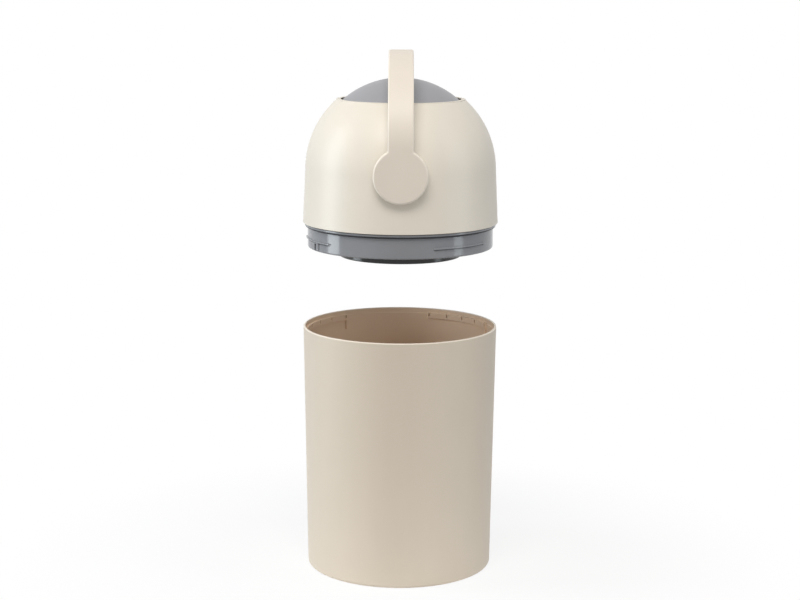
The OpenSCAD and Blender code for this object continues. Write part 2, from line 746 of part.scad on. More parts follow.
bin();
dome_shell();
top_seal();
front_bush();
rear_bush();
ball_bowl();
ball_mouth();
front_axle();
rear_axle();
axle_o_rings();
handle();
handle_liner();
disc_plates();
handle_screws();
collar();
rim_gasket();
collar_screws();
chute();
chute_screws();
lower_seal();
throat_ring();
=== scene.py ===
from math import acos, asin, atan2, cos, degrees, pi, radians, sin, sqrt, tan

import bmesh
import bpy
from mathutils import Euler, Matrix, Vector


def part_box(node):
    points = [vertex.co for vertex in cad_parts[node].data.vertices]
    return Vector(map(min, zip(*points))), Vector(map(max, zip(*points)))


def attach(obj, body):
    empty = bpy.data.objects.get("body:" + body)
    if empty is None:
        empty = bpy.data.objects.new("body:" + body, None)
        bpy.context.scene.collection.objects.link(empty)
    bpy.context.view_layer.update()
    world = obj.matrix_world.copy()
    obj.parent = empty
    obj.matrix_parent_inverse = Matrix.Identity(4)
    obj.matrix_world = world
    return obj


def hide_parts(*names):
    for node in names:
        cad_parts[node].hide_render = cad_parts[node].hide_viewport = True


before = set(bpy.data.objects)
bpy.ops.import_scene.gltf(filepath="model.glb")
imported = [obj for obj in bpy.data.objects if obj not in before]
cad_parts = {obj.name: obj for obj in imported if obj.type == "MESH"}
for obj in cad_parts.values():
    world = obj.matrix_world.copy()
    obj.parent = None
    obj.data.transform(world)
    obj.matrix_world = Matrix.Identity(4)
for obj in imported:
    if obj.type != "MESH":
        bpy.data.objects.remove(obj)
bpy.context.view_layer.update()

# The bin: one tapered tub in warm beige polypropylene with a fine satin grain, moulded
# open end down. Its rim is stepped inside for the gasket, three grooved bayonet ledges
# stand just below the step, and it rests on a narrow foot ring.
mm = 0.001
weld = 1e-7  # points closer than this are one
crease = 31  # degrees, above which an edge is left crisp
past = 1 * mm  # how far a cutting tool reaches beyond what it cuts


def arc(x, y, radius, start, stop, steps):
    """Points along a round stretch of an outline, from one angle in degrees to another."""
    turns = [radians(start + (stop - start) * i / steps) for i in range(steps + 1)]
    return [(x + radius * cos(t), y + radius * sin(t)) for t in turns]


def rounded(corners, steps=5, guard=0.5 * mm):
    """A closed outline from corners of (x, y, rounding). A guard point beside each
    rounding keeps the shading of the long straight stretches flat."""
    points = []
    for i, (x, y, rounding) in enumerate(corners):
        here = Vector((x, y))
        if rounding == 0:
            points.append((x, y))
            continue
        before = Vector(corners[i - 1][:2]) - here
        after = Vector(corners[(i + 1) % len(corners)][:2]) - here
        half = before.angle(after) / 2
        reach = rounding / tan(half)
        before_dir, after_dir = before.normalized(), after.normalized()
        centre = here + (before_dir + after_dir).normalized() * (rounding / sin(half))
        start = here + before_dir * reach - centre
        stop = here + after_dir * reach - centre
        turn = start.angle_signed(stop)
        if before.length > reach + 3 * guard:
            points.append(tuple(here + before_dir * (reach + guard)))
        for k in range(steps + 1):
            a = atan2(start.y, start.x) - turn * k / steps
            points.append((centre.x + rounding * cos(a), centre.y + rounding * sin(a)))
        if after.length > reach + 3 * guard:
            points.append(tuple(here + after_dir * (reach + guard)))
    return points


def smooth(piece):
    """Shades a piece smooth but for its sharp edges."""
    piece.data.shade_smooth()
    piece.data.set_sharp_from_angle(angle=radians(crease))
    return piece


def placed(name, data):
    """A new object in the scene, at the origin."""
    thing = bpy.data.objects.new(name, data)
    bpy.context.scene.collection.objects.link(thing)
    return thing


def solid(name, verts, faces):
    """A closed piece with its doubled points welded and its faces turned outwards."""
    mesh = bpy.data.meshes.new(name)
    mesh.from_pydata([tuple(v) for v in verts], [], faces)
    work = bmesh.new()
    work.from_mesh(mesh)
    bmesh.ops.remove_doubles(work, verts=work.verts, dist=weld)
    bmesh.ops.dissolve_degenerate(work, dist=weld, edges=work.edges)
    bmesh.ops.delete(work, geom=[edge for edge in work.edges if not edge.link_faces], context="EDGES")
    bmesh.ops.recalc_face_normals(work, faces=work.faces)
    work.to_mesh(mesh)
    work.free()
    return smooth(placed(name, mesh))


def lofted(rings, closed=False):
    """Vertices and faces of a skin over a row of closed rings, capped unless it closes on itself."""
    count = len(rings[0])
    verts = [point for ring in rings for point in ring]
    faces = []
    for i in range(len(rings) if closed else len(rings) - 1):
        a, b = i * count, (i + 1) % len(rings) * count
        for j in range(count):
            k = (j + 1) % count
            faces.append((a + j, a + k, b + k, b + j))
    if not closed:
        faces.append(tuple(range(count)))
        faces.append(tuple(range(len(verts) - count, len(verts))))
    return verts, faces


def round_about_z(angle, section):
    """A section of (radius, height) points, stood up at an angle in degrees about Z."""
    turn = radians(angle)
    return [(r * cos(turn), r * sin(turn), z) for r, z in section]


def revolved(name, outline, segments=288, axis="Z"):
    """A closed outline of (radius, height) turned about an axis through the origin."""
    rings = [round_about_z(360 * i / segments, outline) for i in range(segments)]
    piece = solid(name, *lofted(rings, closed=True))
    if axis != "Z":
        about, angle = {"X": ("Y", 90), "-Y": ("X", 90), "Y": ("X", -90)}[axis]
        piece.data.transform(Matrix.Rotation(radians(angle), 4, about))
    return piece


def moved(piece, x=0.0, z=0.0, turn=0.0):
    """Moves a piece's mesh, after a turn in degrees about Z."""
    piece.data.transform(Matrix.Translation((x, 0, z)) @ Matrix.Rotation(radians(turn), 4, "Z"))
    return piece


def block(name, lo, hi):
    """A plain box, used only as a tool that cuts or joins."""
    verts = [(x, y, z) for x in (lo[0], hi[0]) for y in (lo[1], hi[1]) for z in (lo[2], hi[2])]
    faces = [(0, 1, 3, 2), (4, 6, 7, 5), (0, 4, 5, 1), (2, 3, 7, 6), (0, 2, 6, 4), (1, 5, 7, 3)]
    return solid(name, verts, faces)


def baked(piece):
    """Gives a piece the plain mesh that its modifiers make of it, and drops them."""
    bpy.context.view_layer.update()
    mesh = bpy.data.meshes.new_from_object(piece.evaluated_get(bpy.context.evaluated_depsgraph_get()))
    mesh.name = piece.name
    piece.modifiers.clear()
    piece.data = mesh
    return mesh


def shaped(piece, operation, *tools):
    """Joins tools to a piece, cuts them out of it or keeps what they share, and uses them up."""
    for tool in tools:
        step = piece.modifiers.new(operation, "BOOLEAN")
        step.operation = operation
        step.solver = "MANIFOLD"
        step.object = tool
    baked(piece).materials.clear()
    for tool in tools:
        bpy.data.objects.remove(tool)
    return smooth(piece)


def paint(red, green, blue):
    """A colour as a paint chart gives it, 0 to 255, for a shader."""
    parts = [c / 255 for c in (red, green, blue)]
    return tuple(c / 12.92 if c < 0.04045 else ((c + 0.055) / 1.055) ** 2.4 for c in parts) + (1.0,)


def wired(tree, kind, settings=None, values=None):
    """A new node: its settings are set first, then the values or links of its sockets."""
    node = tree.nodes.new(kind)
    for key, setting in (settings or {}).items():
        setattr(node, key, setting)
    for key, value in (values or {}).items():
        if isinstance(value, bpy.types.NodeSocket):
            tree.links.new(value, node.inputs[key])
        else:
            node.inputs[key].default_value = value
    return node


class Field:
    """Something that varies over a surface. Python's operators on it add Math nodes."""

    def __init__(self, finish, socket):
        self.finish = finish
        self.socket = socket

    def math(self, operation, *values):
        return self.finish.node("ShaderNodeMath", {"operation": operation}, dict(enumerate(values)))

    def __add__(self, other):
        return self.math("ADD", self, other)

    __radd__ = __add__

    def __sub__(self, other):
        return self.math("SUBTRACT", self, other)

    def __rsub__(self, other):
        return self.math("SUBTRACT", other, self)

    def __mul__(self, other):
        return self.math("MULTIPLY", self, other)

    __rmul__ = __mul__

    def __pow__(self, other):
        return self.math("POWER", self, other)

    def __abs__(self):
        return self.math("ABSOLUTE", self)

    def most(self, other):
        return self.math("MAXIMUM", self, other)

    def rise(self, low, high):
        """0 below one value and 1 above another, with a soft step between them."""
        node = "ShaderNodeMapRange"
        return self.finish.node(node, {"interpolation_type": "SMOOTHSTEP"}, {0: self, 1: low, 2: high})


class Finish:
    """One procedural material of the pail."""

    def __init__(self, name):
        self.material = bpy.data.materials.new(name)
        self.material.use_nodes = True
        self.tree = self.material.node_tree
        self.tree.nodes.clear()
        self.place = self.node("ShaderNodeTexCoord", output="Object")

    def node(self, kind, settings=None, values=None, output=0):
        """Adds a node, whose values may be Fields too, and gives one of its outputs."""
        sockets = {key: value.socket if isinstance(value, Field) else value
                   for key, value in (values or {}).items()}
        node = wired(self.tree, kind, settings, sockets)
        return Field(self, node.outputs[output]) if node.outputs else None

    def noise(self, size, detail, at=None, roughness=0.5):
        """Smooth noise, 0 to 1, whose features are about as large as size in metres."""
        values = {"Vector": at or self.place, "Scale": 1 / size, "Detail": detail, "Roughness": roughness}
        return self.node("ShaderNodeTexNoise", {}, values)

    def axis(self, letter):
        """One coordinate of the surface, in metres."""
        return self.node("ShaderNodeSeparateXYZ", {}, {0: self.place}, output=letter)

    def stretched(self, x, y, z):
        """The surface's place, scaled along each axis for streaks."""
        return self.node("ShaderNodeVectorMath", {"operation": "MULTIPLY"}, {0: self.place, 1: (x, y, z)})

    def radius(self):
        """Distance from the pail's upright axis, in metres."""
        x, y = self.axis("X"), self.axis("Y")
        return (x * x + y * y) ** 0.5

    def mixed(self, factor, first, second):
        """One colour laid over another."""
        values = {0: factor, 6: first, 7: second}
        return self.node("ShaderNodeMix", {"data_type": "RGBA"}, values, output=2)

    def bump(self, height, depth):
        """A Normal from a height of 0 to 1 that stands for a depth in metres."""
        return self.node("ShaderNodeBump", {}, {"Height": height, "Distance": depth})

    def surface(self, **sockets):
        """The finished surface, from the Principled shader's sockets."""
        values = {name.replace("_", " "): value for name, value in sockets.items()}
        shader = self.node("ShaderNodeBsdfPrincipled", {}, values)
        self.node("ShaderNodeOutputMaterial", {}, {"Surface": shader})
        return self.material


def moulded(name, colour, shade, gloss, grain, worn=None, wear_and_highlight_colour=None, specular=0.5,
            core=None, painted_bounce_colour=None, lip=None, depth=0.025 * mm):
    """Injection-moulded plastic: a sparked satin grain over the slight waves of the tool,
    faint flow clouds in its colour, and a scuffed look where it is worn. The side that the
    tool's core shapes has less grain and takes a warmer colour as painted bounce light, and
    handled edges are polished and painted lighter as a highlight. worn, core and lip are
    functions that give their masks from the finish, and depth is how deep the grain goes."""
    finish = Finish(name)
    cloud = finish.noise(70 * mm, 3)
    streak = finish.noise(18 * mm, 2, finish.stretched(1, 1, 0.16))
    specks = finish.noise(1.1 * mm, 3)
    sparked = finish.noise(grain, 2, roughness=0.6)
    waves = finish.noise(26 * mm, 1)
    tone = (cloud * 0.6 + streak * 0.4).rise(0.3, 0.7)
    base = finish.mixed(tone, shade, colour)
    rough = gloss + (cloud - 0.5) * 0.06 + (specks - 0.5) * 0.08
    relief = sparked * 0.5 + specks * 0.2 + waves * 1.6
    if core:
        inner = core(finish)
        # Painted bounce light: the core side takes a warmer colour that stands in for light bounced inside;
        # its finer grain is real.
        base = finish.mixed(inner, base, painted_bounce_colour)
        relief = relief * (1 - inner * 0.6)
    if worn:
        mask = worn(finish) * finish.noise(4 * mm, 3).rise(0.38, 0.62)
        base = finish.mixed(mask * 0.5, base, wear_and_highlight_colour)
        rough = rough + mask * 0.12
        relief = relief + finish.noise(0.7 * mm, 3, finish.stretched(1, 1, 6)) * mask * 0.8
    if lip:
        polish_and_highlight = lip(finish)
        # Painted highlight: the edges take a lighter colour; the lower roughness below is a real polish.
        base = finish.mixed(polish_and_highlight * 0.85, base, wear_and_highlight_colour)
        rough = rough - polish_and_highlight * 0.1
        relief = relief * (1 - polish_and_highlight * 0.7)
    normal = finish.bump(relief, depth)
    return finish.surface(Base_Color=base, Roughness=rough, Normal=normal, Specular_IOR_Level=specular)


bin_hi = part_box("bin")[1]
rim_r = bin_hi.x
bin_top = bin_hi.z
bin_draft = 4.7 * mm
bin_wall = 2.9 * mm
bin_floor = 3 * mm
foot_hollow = 2 * mm
foot_ring_w = 10 * mm
foot_round = 3.4 * mm
rim_round = 1.1 * mm
rim_inner_round = 0.5 * mm
rim_band = 6 * mm
rim_step = 0.5 * mm
foot_r = rim_r - bin_draft
collar_gap = 2.6 * mm
collar_r = rim_r - bin_wall - collar_gap
ledge_r = collar_r + 0.5 * mm
ledge_starts = (20, 126, 236)
ledge_span = 52
ledge_lead = 0.5
ledge_end_share = 0.35
ledge_drop = 12.4 * mm
ledge_high = bin_top - 5.2 * mm
ledge_low = bin_top - ledge_drop
ledge_grooves = 5
groove_inset = 1.4
groove_w = 1.5 * mm
groove_bite = 1.2 * mm
groove_sill = 2.7 * mm
groove_head = 0.5 * mm
stop_low = bin_top - 24 * mm
stop_w = 2.2 * mm
stop_slant = 0.6 * mm


def bin_radius(z):
    """Outer radius of the bin at a height."""
    return foot_r + bin_draft * z / bin_top


def bin_outline():
    """Half section of the tub, from the middle of its underside round to its floor."""
    floor_z = foot_hollow + bin_floor
    foot_in = foot_r - foot_round - foot_ring_w
    band_z = bin_top - rim_band
    band_r = bin_radius(band_z) - bin_wall
    gate_r, gate_h = 3.2 * mm, 0.35 * mm
    return rounded([
        (0, foot_hollow - gate_h, 0),
        (gate_r, foot_hollow - gate_h, 0.15 * mm),
        (gate_r + 0.4 * mm, foot_hollow, 0.15 * mm),
        (foot_in - foot_hollow, foot_hollow, 1 * mm),
        (foot_in, 0, 0.4 * mm),
        (foot_r, 0, foot_round),
        (rim_r, bin_top, rim_round),
        (rim_r - bin_wall + rim_step, bin_top, rim_inner_round),
        (band_r + rim_step, band_z, 0.15 * mm),
        (band_r, band_z - rim_step, 0.15 * mm),
        (bin_radius(floor_z) - bin_wall, floor_z, 6 * mm),
        (0, floor_z, 0)])


def ledge(start):
    """A ledge that a collar rib turns under, as one closed sector with slanted ends."""
    root = bin_radius(ledge_low) - 0.5 * bin_wall
    steps = 39
    first, last = start + ledge_lead, start + ledge_span - ledge_lead
    places = [(first + (last - first) * (k / steps), 1.0) for k in range(steps + 1)]
    places = [(start, ledge_end_share)] + places + [(start + ledge_span, ledge_end_share)]
    rings = []
    for angle, share in places:
        inner = root - (root - ledge_r) * share
        section = rounded([(inner, ledge_low, 0.3 * mm), (root, ledge_low, 0),
                           (root, ledge_high, 0), (inner, ledge_high, 0.3 * mm)],
                          steps=3, guard=0.2 * mm)
        rings.append(round_about_z(angle, section))
    return solid("ledge", *lofted(rings))


def ledge_slots(start):
    """Blocks that cut the grooves into a ledge, the outer ones close to its ends."""
    slots = []
    pitch = (ledge_span - 2 * groove_inset) / (ledge_grooves - 1)
    groove_r = bin_radius(ledge_low) - bin_wall + groove_bite
    for i in range(ledge_grooves):
        slot = block("slot", (ledge_r - past, -groove_w / 2, ledge_low + groove_sill),
                     (groove_r, groove_w / 2, ledge_high - groove_head))
        slots.append(moved(slot, turn=start + groove_inset + pitch * i))
    return slots


def stop_rib(start):
    """The upright rib at a ledge's start, which a collar rib runs against."""
    root = bin_radius(stop_low) - 0.5 * bin_wall
    half = stop_w / 2
    foot, top = stop_low + stop_slant, ledge_low + 0.8 * mm
    verts, faces = lofted([
        [(ledge_r, -half, foot), (ledge_r, half, foot), (root, half, stop_low), (root, -half, stop_low)],
        [(ledge_r, -half, top), (ledge_r, half, top), (root, half, top), (root, -half, top)]])
    return moved(solid("stop", verts, faces), turn=start + degrees(half / ledge_r))


bin_body = revolved("bin_body", bin_outline())
shaped(bin_body, "UNION", *[ledge(start) for start in ledge_starts])
shaped(bin_body, "UNION", *[stop_rib(start) for start in ledge_starts])
shaped(bin_body, "DIFFERENCE", *[slot for start in ledge_starts for slot in ledge_slots(start)])


def foot_ring(finish):
    """Where the bin rubs on what it stands on."""
    return 1 - finish.axis("Z").rise(0.3 * mm, 2.2 * mm)


def rim_lip(finish):
    """The rounded top of the rim, polished by the seated head and painted lighter as a highlight."""
    return finish.axis("Z").rise(bin_top - 1.3 * mm, bin_top - 0.7 * mm)


def tub_inside(finish):
    """The inner face of the tub, below the rounding of its rim, which takes a warmer colour as painted
    bounce light.
    """
    skin = foot_r + finish.axis("Z") * (bin_draft / bin_top) - finish.radius()
    return skin.rise(1.2 * mm, 2.2 * mm) * (1 - finish.axis("Z").rise(bin_top - 1 * mm, bin_top))


# Painted light: the rim's lip is painted lighter as a highlight, and the inside takes a warmer colour as
# bounce light.
bin_body.data.materials.append(moulded(
    "bin_satin_beige", paint(221, 208, 191), paint(219, 206, 189), gloss=0.52, grain=0.45 * mm,
    worn=foot_ring, wear_and_highlight_colour=paint(250, 238, 222), specular=0.42,
    core=tub_inside, painted_bounce_colour=paint(233, 207, 180), lip=rim_lip))
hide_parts("bin")
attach(bin_body, "bin")

# The throat ring: a charcoal ring in semi-gloss plastic that hangs in the collar's deck
# by its inner lip, free to turn, with a lower groove that grips the gathered bag.
ring_lo, ring_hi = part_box("throat_ring")
head_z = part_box("dome_shell")[0].z
collar_h = 29 * mm
collar_wall = 2.6 * mm
deck_top = head_z + collar_wall - collar_h
deck_low = head_z - collar_h
run_gap = 0.35 * mm
throat_r = ring_hi.x
throat_bore = 65 * mm
throat_neck = throat_bore + 2.9 * mm


def throat_outline():
    """Half section of the throat ring, from the foot of its bore outwards and round."""
    low = ring_lo.z
    shoulder = deck_low - run_gap
    skirt_t = 2.4 * mm
    groove_top = shoulder - 2.6 * mm
    lip_z = deck_top + run_gap
    lip_w, lip_t = 2.6 * mm, 1.8 * mm
    return rounded([
        (throat_bore, low, 0.8 * mm), (throat_neck - 0.4 * mm, low, 0.5 * mm),
        (throat_neck - 0.4 * mm, groove_top, 0.4 * mm), (throat_r - skirt_t, groove_top, 0.4 * mm),
        (throat_r - skirt_t, low, 0.5 * mm), (throat_r, low, 0.8 * mm),
        (throat_r, shoulder, 0.4 * mm), (throat_neck, shoulder, 0.2 * mm),
        (throat_neck, lip_z, 0.2 * mm), (throat_neck + lip_w, lip_z, 0.4 * mm),
        (throat_neck + lip_w, lip_z + lip_t, 0.6 * mm), (throat_bore, lip_z + lip_t, 0.8 * mm)],
        steps=4)


throat_ring = revolved("throat_ring_body", throat_outline())


def ring_skirt(finish):
    """The lower edge of the throat ring, which the bag's film rubs."""
    return 1 - finish.axis("Z").rise(ring_lo.z, ring_lo.z + 2 * mm)


throat_ring.data.materials.append(moulded(
    "throat_charcoal", paint(34, 34, 36), paint(31, 31, 33), gloss=0.16, grain=0.6 * mm,
    worn=ring_skirt, wear_and_highlight_colour=paint(60, 60, 63), specular=0.4, depth=0.012 * mm))
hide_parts("throat_ring")
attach(throat_ring, "throat")

# The collar: flange, wall and deck of the head in one semi-gloss grey moulding. Outside
# it has three bayonet ribs and a slotted catch pad, and inside the pillars that its six
# screws run up through into the shell.
flange_drop = 3 * mm
seam = 0.6 * mm
flange_r = rim_r - 1.8 * mm
spigot_h = 8 * mm
shell_wall = 2.8 * mm
shell_draft = 2.9 * mm
belt_z = 62 * mm
belt_r = rim_r - shell_draft
post_r = 5 * mm
post_n = 6
post_ring_r = collar_r - collar_wall - post_r - 0.2 * mm
screw_d = 3.8 * mm
screw_play = 0.25 * mm
collar_seat = head_z - 9 * mm
rib_starts = (76, 181, 290)
rib_span = 42
rib_lead = 1.2
gasket_squeezed = 0.9 * mm
rib_high = head_z - flange_drop - ledge_drop - gasket_squeezed - run_gap
rib_t = 1.6 * mm
rib_h = 1.7 * mm
undercut_inset = 0.6
undercut_reach = 0.4 * mm
undercut_h = 1.1 * mm
undercut_top = rib_high - rib_t - 0.04 * mm
pad_start = 195
pad_span = 16
pad_lead = 0.6
pad_low = deck_low + 1.8 * mm
pad_h = 10.4 * mm
pad_out = 1.4 * mm
pad_slot_w = 4.4 * mm
pad_slot_depth = 1.2 * mm
pad_slot_turn = pad_start + pad_span - 3.6
chute_out = 75 * mm
chute_screw_n = 4
chute_screw_d = 3 * mm
chute_screw_first = 45
ear_r = 4.5 * mm
ear_t = 2 * mm
chute_screw_r = chute_out + ear_r + 0.5 * mm
chute_pillar_r = 3 * mm
chute_pillar_h = 6 * mm
deck_hole_r = throat_neck + 0.4 * mm


def collar_outline():
    """Half section of the collar, from its deck's hole round the wall, flange and spigot."""
    foot_edge = 1.6 * mm
    spigot_r = rim_r - shell_draft * spigot_h / belt_z - shell_wall - 0.3 * mm
    spigot_in = spigot_r - 2.2 * mm
    inner_r = collar_r - collar_wall
    return rounded([
        (deck_hole_r, deck_low, 0.3 * mm), (collar_r, deck_low, foot_edge),
        (collar_r, head_z - flange_drop, 0.3 * mm),
        (flange_r, head_z - flange_drop, 0.5 * mm), (flange_r, head_z - seam, 0.5 * mm),
        (spigot_r, head_z - seam, 0.2 * mm), (spigot_r, head_z + spigot_h, 0.7 * mm),
        (spigot_in, head_z + spigot_h, 0.3 * mm), (spigot_in, head_z - 2.2 * mm, 0.3 * mm),
        (inner_r, head_z - flange_drop - 2 * mm, 0.3 * mm), (inner_r, deck_top, 0.5 * mm),
        (deck_hole_r, deck_top, 0.3 * mm)], steps=4)


def raised_sector(start, span, height, low, high, lead, edge=0.35 * mm):
    """A rib or pad on the collar's wall, rooted a millimetre deep in it, whose height runs
    out almost to nothing over a lead at each end, in degrees."""
    root = collar_r - 1 * mm
    end_share = 0.12
    rings = []
    steps = max(8, round(span / 1.25))
    places = [start + lead * sin(radians(90) * k / 5) ** 2 for k in range(6)]
    places += [start + lead + (span - 2 * lead) * k / steps for k in range(1, steps)]
    places += [start + span - lead * cos(radians(90) * k / 5) ** 2 for k in range(6)]
    for place in places:
        near = min(place - start, start + span - place) / lead
        swell = sqrt(max(0.0, 1 - (1 - near) ** 2))
        rise = 1.0 if near >= 1 else end_share + (1 - end_share) * swell
        out = collar_r + height * rise
        section = rounded([(root, low - 0.3 * mm, 0), (out, low, edge), (out, high, edge),
                           (root, high + 0.3 * mm, 0)], steps=3, guard=0.15 * mm)
        rings.append(round_about_z(place, section))
    return solid("sector", *lofted(rings))


def tube(name, inner, outer, low, high, segments=96, axis="Z"):
    """A plain ring about an axis through the origin, or a disc if inner is 0."""
    return revolved(name, [(inner, low), (outer, low), (outer, high), (inner, high)], segments, axis)


def pin(name, radius, low, high):
    """A round post or bore tool along Z."""
    return tube(name, 0, radius, low, high, 40)


def around(maker, count, radius, first=0.0):
    """Copies of a tool, evenly placed on a circle about the pail's axis."""
    return [moved(moved(maker(), x=radius), turn=first + 360 * i / count) for i in range(count)]


def rib(start):
    """A bayonet rib."""
    return raised_sector(start, rib_span, rib_h, rib_high - rib_t, rib_high, rib_lead)


def undercut(start):
    """The recess in the wall just under a rib, which reads as a dark line."""
    return raised_sector(start + undercut_inset, rib_span - 2 * undercut_inset, undercut_reach,
                         undercut_top - undercut_h, undercut_top, rib_lead, edge=0.1 * mm)


collar_body = revolved("collar_body", collar_outline())
pillar_low = deck_top - 0.5 * mm
shaped(collar_body, "UNION", *[rib(start) for start in rib_starts],
       raised_sector(pad_start, pad_span, pad_out, pad_low, deck_low + pad_h, pad_lead),
       *around(lambda: pin("pillar", post_r, pillar_low, head_z), post_n, post_ring_r),
       *around(lambda: pin("pillar", chute_pillar_r, pillar_low, deck_top + chute_pillar_h),
               chute_screw_n, chute_screw_r, chute_screw_first))
pad_slot = block("pad_slot", (collar_r - pad_slot_depth, -pad_slot_w / 2, deck_low - past),
                 (collar_r + 4 * mm, pad_slot_w / 2, deck_low + pad_h - 1 * mm))
shaped(collar_body, "DIFFERENCE", moved(pad_slot, turn=pad_slot_turn),
       *[undercut(start) for start in rib_starts],
       *around(lambda: pin("bore", screw_d + screw_play, deck_low - past, collar_seat),
               post_n, post_ring_r),
       *around(lambda: pin("bore", screw_d / 2 + screw_play, collar_seat - past, head_z + past),
               post_n, post_ring_r))


def collar_lands(finish):
    """The collar's lower edge and the crests of its ribs, which rub in the bin."""
    z = finish.axis("Z")
    foot = 1 - z.rise(deck_low, deck_low + 1.5 * mm)
    crest = finish.radius().rise(collar_r + 1.2 * mm, collar_r + 1.7 * mm)
    return foot.most(crest * (1 - z.rise(rib_high + 0.5 * mm, rib_high + 1 * mm))) * 0.6


collar_grey = moulded("collar_grey", paint(138, 139, 143), paint(135, 136, 140), gloss=0.13,
                      grain=0.7 * mm, worn=collar_lands, wear_and_highlight_colour=paint(156, 157, 161),
                      specular=0.45, depth=0.012 * mm)
collar_body.data.materials.append(collar_grey)
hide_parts("collar")
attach(collar_body, "head")

# The gasket and the seals: soft dark rubber rings. The gasket closes on the bin's rim
# under the flange, the lower seal sits on the chute's neck against the ball, and the
# top seal wipes the ball inside the crown's opening. The O-rings brake the journals.


def rubber(name, colour, shade):
    """Soft matt rubber with a bloom of talc and the fine drag marks of its tool."""
    finish = Finish(name)
    bloom = finish.noise(9 * mm, 4).rise(0.35, 0.75)
    grain = finish.noise(0.5 * mm, 2)
    turned = finish.noise(0.6 * mm, 2, finish.stretched(0.05, 0.05, 1))
    base = finish.mixed(bloom * 0.6, shade, colour)
    rough = 0.62 + bloom * 0.12 + (grain - 0.5) * 0.1
    normal = finish.bump(grain * 0.5 + turned * 0.5, 0.06 * mm)
    return finish.surface(Base_Color=base, Roughness=rough, Normal=normal, Specular_IOR_Level=0.35)


def dressed(node, material):
    """A node of the frame whose shape is right takes a finished material."""
    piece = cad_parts[node]
    if not piece.material_slots:
        piece.data.materials.append(material)
    for place in piece.material_slots:
        place.material = material


dark_rubber = rubber("seal_dark_rubber", paint(62, 62, 66), paint(48, 48, 51))
for node in ("rim_gasket", "lower_seal", "top_seal", "axle_o_rings"):
    dressed(node, dark_rubber)

# The chute: the neck on the deck that carries the lower seal. It is the same grey
# plastic as the collar, screwed down by its four ears.
dressed("chute", collar_grey)

# The ball: two hollow mouldings in cool grey, closed round the square necks of the
# axles. They meet in a fine seam in the plane of the pivot. The bowl is the closed
# half that shows above the crown, and the other half has the mouth.
axle_drop = 21 * mm
pivot_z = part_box("front_axle")[0].z + axle_drop
ball_r = belt_r - shell_wall - 6.3 * mm
ball_wall = 2.6 * mm
ball_in = ball_r - ball_wall
mouth_r = 69 * mm
pole_y = ball_r - 2.4 * mm
pole_t = 3 * mm
pad_r = sqrt(ball_r ** 2 - pole_y ** 2) - 0.2 * mm
neck_hole = 23.8 * mm
seam_edge = 0.3 * mm


def bowl_outline():
    """Half section of the closed half about its own axis: distance out, and along."""
    far = asin(seam_edge / ball_r)
    outer = arc(0, 0, ball_r, degrees(far) + 0.2, 90, 60)
    inner = arc(0, 0, ball_in, 90, 0.6, 48)
    return [(ball_r - seam_edge, 0)] + outer + inner + [(ball_in, 0)]


def mouth_outline():
    """Half section of the half with the mouth, whose edge is a thicker rounded lip."""
    lip_turn = degrees(acos(mouth_r / ball_r))
    lip_w = 3 * mm
    lip_in = ball_in - 1.4 * mm
    step_turn = degrees(acos((mouth_r + lip_w) / ball_in))
    outer = arc(0, 0, ball_r, 0.4, lip_turn - 0.5, 44)
    edge_in = (mouth_r, lip_in * sin(acos(mouth_r / lip_in)))
    edge_out = (mouth_r, ball_r * sin(radians(lip_turn)) - 0.4 * mm)
    lip = arc(0, 0, lip_in, degrees(acos((mouth_r + 0.4 * mm) / lip_in)), step_turn + 0.2, 6)
    inner = arc(0, 0, ball_in, step_turn - 0.4, 0.4, 36)
    return [(ball_r - seam_edge, 0)] + outer + [edge_out, edge_in] + lip + inner + [(ball_in, 0)]


def ball_part(name, outline, side):
    """One half of the ball with its flat poles and square holes, in its place. side is 1
    for the half towards +X, and -1 for the other."""
    part = revolved(name, outline, axis="X")
    if side < 0:
        part.data.transform(Matrix.Rotation(radians(180), 4, "Z"))
    reach = ball_r + 5 * mm
    shaped(part, "INTERSECT", block("slab", (-reach, -pole_y, -reach), (reach, pole_y, reach)))
    low_x, high_x = (0, reach) if side > 0 else (-reach, 0)
    for axis in ("Y", "-Y"):
        pad = tube("pad", 0, pad_r, pole_y - pole_t, pole_y, axis=axis)
        shaped(pad, "INTERSECT", block("half", (low_x, -reach, -reach), (high_x, reach, reach)))
        shaped(part, "UNION", pad)
    hole = neck_hole / 2
    shaped(part, "DIFFERENCE", block("neck", (-hole, -reach, -hole), (hole, reach, hole)))
    return moved(part, z=pivot_z)


ball_bowl = ball_part("ball_bowl_body", bowl_outline(), 1)
ball_mouth = ball_part("ball_mouth_body", mouth_outline(), -1)


def wiped(finish):
    """Faint wear round the ball where the seals wipe it."""
    return finish.noise(30 * mm, 2).rise(0.5, 0.8) * 0.4


ball_grey = moulded("ball_cool_grey", paint(156, 155, 159), paint(153, 152, 156), gloss=0.4,
                    grain=0.45 * mm, worn=wiped, wear_and_highlight_colour=paint(163, 162, 166))
for piece, node in ((ball_bowl, "ball_bowl"), (ball_mouth, "ball_mouth")):
    piece.data.materials.append(ball_grey)
    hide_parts(node)
    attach(piece, "ball")

# The axles and their bushes: turned and moulded acetal in natural white. Each axle is
# trapped in a pole of the ball, runs in a bush in the shell, and drives the handle.


def acetal(name):
    """Natural white bearing plastic, slightly waxy, with fine turning marks."""
    finish = Finish(name)
    y = finish.axis("Y")
    turned = finish.node("ShaderNodeTexNoise", {"noise_dimensions": "1D"},
                         {"W": y * 1500, "Detail": 2.0})
    cloud = finish.noise(12 * mm, 2)
    base = finish.mixed(cloud.rise(0.35, 0.65), paint(228, 227, 220), paint(236, 235, 230))
    rough = 0.3 + (turned - 0.5) * 0.12 + (cloud - 0.5) * 0.08
    normal = finish.bump(turned, 0.03 * mm)
    return finish.surface(Base_Color=base, Roughness=rough, Normal=normal)


white_acetal = acetal("bearing_natural_white")
for node in ("front_axle", "rear_axle", "front_bush", "rear_bush"):
    dressed(node, white_acetal)

